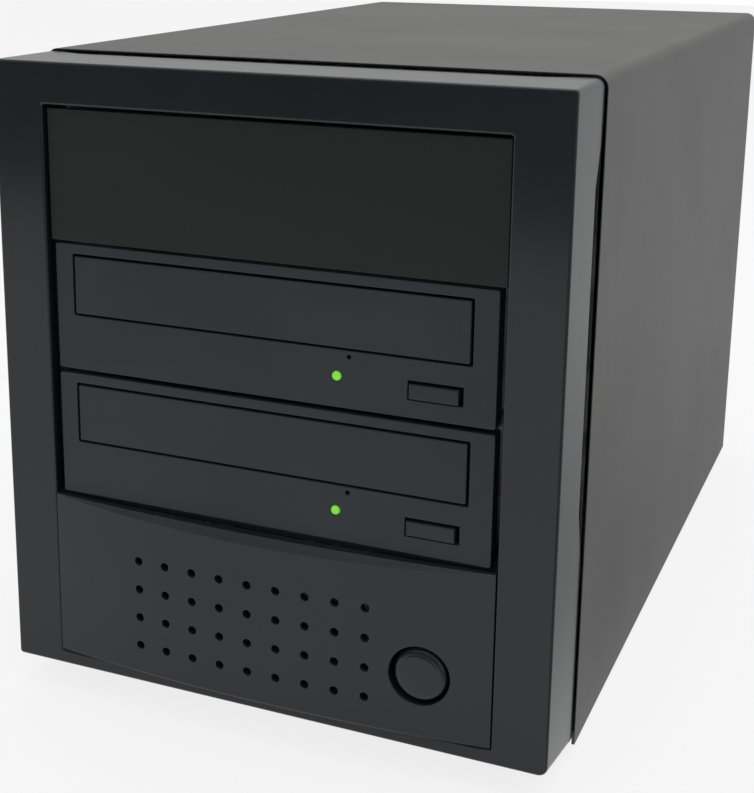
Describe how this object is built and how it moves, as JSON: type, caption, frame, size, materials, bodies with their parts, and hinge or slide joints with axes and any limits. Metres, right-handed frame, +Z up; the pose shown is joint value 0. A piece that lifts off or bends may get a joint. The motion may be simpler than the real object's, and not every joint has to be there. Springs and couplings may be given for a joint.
{
  "type": "disc duplicator tower",
  "caption": "Upright steel case with a moulded front, a blanked bay, tray-loading optical drives with eject buttons, a vented lower panel, a power button and a rear power supply.",
  "frame": {"origin": "centre of the bounding box's footprint, on the surface that the feet stand on", "axes": "-Y out of the front, where the trays open; +X to the right seen from the front; +Z up"},
  "size_m": [0.19, 0.3368, 0.2167],
  "materials": {
    "gloss_black": "gloss",
    "matte_black": "matte",
    "drive_grey": "fine matte",
    "case_paint": "satin, fine texture",
    "bare_steel": "plated sheet",
    "loader_plastic": "matte",
    "rubber": "matte",
    "green_light": "clear, lit",
    "board_green": "circuit board",
    "white_plastic": "matte",
    "polished_steel": "polished"
  },
  "bodies": {
    "tower": {"front_bezel": "gloss_black", "lower_panel": "gloss_black", "power_switch": "loader_plastic", "bay_cover": "matte_black", "case_cover": "case_paint", "chassis_base": "bare_steel", "chassis_front": "bare_steel", "foot_front_left": "rubber", "foot_front_right": "rubber", "foot_rear_left": "rubber", "foot_rear_right": "rubber", "cage_left": "bare_steel", "cage_right": "bare_steel", "rear_panel": "case_paint", "psu_base": "bare_steel", "psu_cover": "bare_steel", "psu_board": "board_green", "power_inlet": "matte_black", "rocker_housing": "matte_black", "psu_fan_frame": "loader_plastic", "case_fan_frame": "loader_plastic", "psu_fan_guard": "bare_steel", "controller_bracket": "bare_steel", "controller_board": "board_green", "drive_1_chassis": "bare_steel", "drive_1_cover": "bare_steel", "drive_1_board": "board_green", "drive_1_bezel": "drive_grey", "drive_1_led": "green_light", "drive_1_loader": "loader_plastic", "drive_1_clamp": "white_plastic", "drive_2_chassis": "bare_steel", "drive_2_cover": "bare_steel", "drive_2_board": "board_green", "drive_2_bezel": "drive_grey", "drive_2_led": "green_light", "drive_2_loader": "loader_plastic", "drive_2_clamp": "white_plastic"},
    "power_button": {"power_button": "gloss_black"},
    "rocker": {"rocker_switch": "matte_black"},
    "psu_fan": {"psu_fan_rotor": "loader_plastic"},
    "case_fan": {"case_fan_rotor": "loader_plastic"},
    "tray_1": {"drive_1_tray": "loader_plastic", "drive_1_tray_front": "drive_grey"},
    "eject_button_1": {"drive_1_eject_button": "drive_grey"},
    "traverse_1": {"drive_1_traverse": "bare_steel", "drive_1_rod_left": "polished_steel", "drive_1_rod_right": "polished_steel", "drive_1_motor": "bare_steel"},
    "turntable_1": {"drive_1_turntable": "loader_plastic"},
    "sled_1": {"drive_1_sled": "polished_steel"},
    "tray_2": {"drive_2_tray": "loader_plastic", "drive_2_tray_front": "drive_grey"},
    "eject_button_2": {"drive_2_eject_button": "drive_grey"},
    "traverse_2": {"drive_2_traverse": "bare_steel", "drive_2_rod_left": "polished_steel", "drive_2_rod_right": "polished_steel", "drive_2_motor": "bare_steel"},
    "turntable_2": {"drive_2_turntable": "loader_plastic"},
    "sled_2": {"drive_2_sled": "polished_steel"}
  },
  "joints": [
    {"name": "power_button_press", "type": "slide", "parent": "tower", "child": "power_button", "axis": [0, 1, 0], "range_m": [0, 0.0025], "stiffness_N_per_m": 400, "springref_m": -0.001},
    {"name": "rocker_tilt", "type": "hinge", "parent": "tower", "child": "rocker", "pos_m": [-0.04, 0.16268, 0.1862], "axis": [0, 0, 1], "range_deg": [0, 20]},
    {"name": "psu_fan_spin", "type": "hinge", "parent": "tower", "child": "psu_fan", "pos_m": [0.03, 0.15043, 0.1712], "axis": [0, 1, 0], "continuous": true},
    {"name": "case_fan_spin", "type": "hinge", "parent": "tower", "child": "case_fan", "pos_m": [0, 0.15153, 0.062], "axis": [0, 1, 0], "continuous": true},
    {"name": "tray_1_slide", "type": "slide", "parent": "tower", "child": "tray_1", "axis": [0, -1, 0], "range_m": [0, 0.14]},
    {"name": "eject_button_1_press", "type": "slide", "parent": "tower", "child": "eject_button_1", "axis": [0, 1, 0], "range_m": [0, 0.001], "stiffness_N_per_m": 400, "springref_m": -0.001},
    {"name": "traverse_1_lift", "type": "hinge", "parent": "tower", "child": "traverse_1", "pos_m": [0, -0.00992, 0.134], "axis": [-1, 0, 0], "range_deg": [0, 4.5]},
    {"name": "turntable_1_spin", "type": "hinge", "parent": "traverse_1", "child": "turntable_1", "pos_m": [0, -0.08469, 0.12812], "axis": [0, -0.0785, 0.9969], "continuous": true},
    {"name": "sled_1_slide", "type": "slide", "parent": "traverse_1", "child": "sled_1", "axis": [0, 0.9969, 0.0785], "range_m": [0, 0.032]},
    {"name": "tray_2_slide", "type": "slide", "parent": "tower", "child": "tray_2", "axis": [0, -1, 0], "range_m": [0, 0.14]},
    {"name": "eject_button_2_press", "type": "slide", "parent": "tower", "child": "eject_button_2", "axis": [0, 1, 0], "range_m": [0, 0.001], "stiffness_N_per_m": 400, "springref_m": -0.001},
    {"name": "traverse_2_lift", "type": "hinge", "parent": "tower", "child": "traverse_2", "pos_m": [0, -0.00992, 0.0908], "axis": [-1, 0, 0], "range_deg": [0, 4.5]},
    {"name": "turntable_2_spin", "type": "hinge", "parent": "traverse_2", "child": "turntable_2", "pos_m": [0, -0.08469, 0.08492], "axis": [0, -0.0785, 0.9969], "continuous": true},
    {"name": "sled_2_slide", "type": "slide", "parent": "traverse_2", "child": "sled_2", "axis": [0, 0.9969, 0.0785], "range_m": [0, 0.032]}
  ]
}
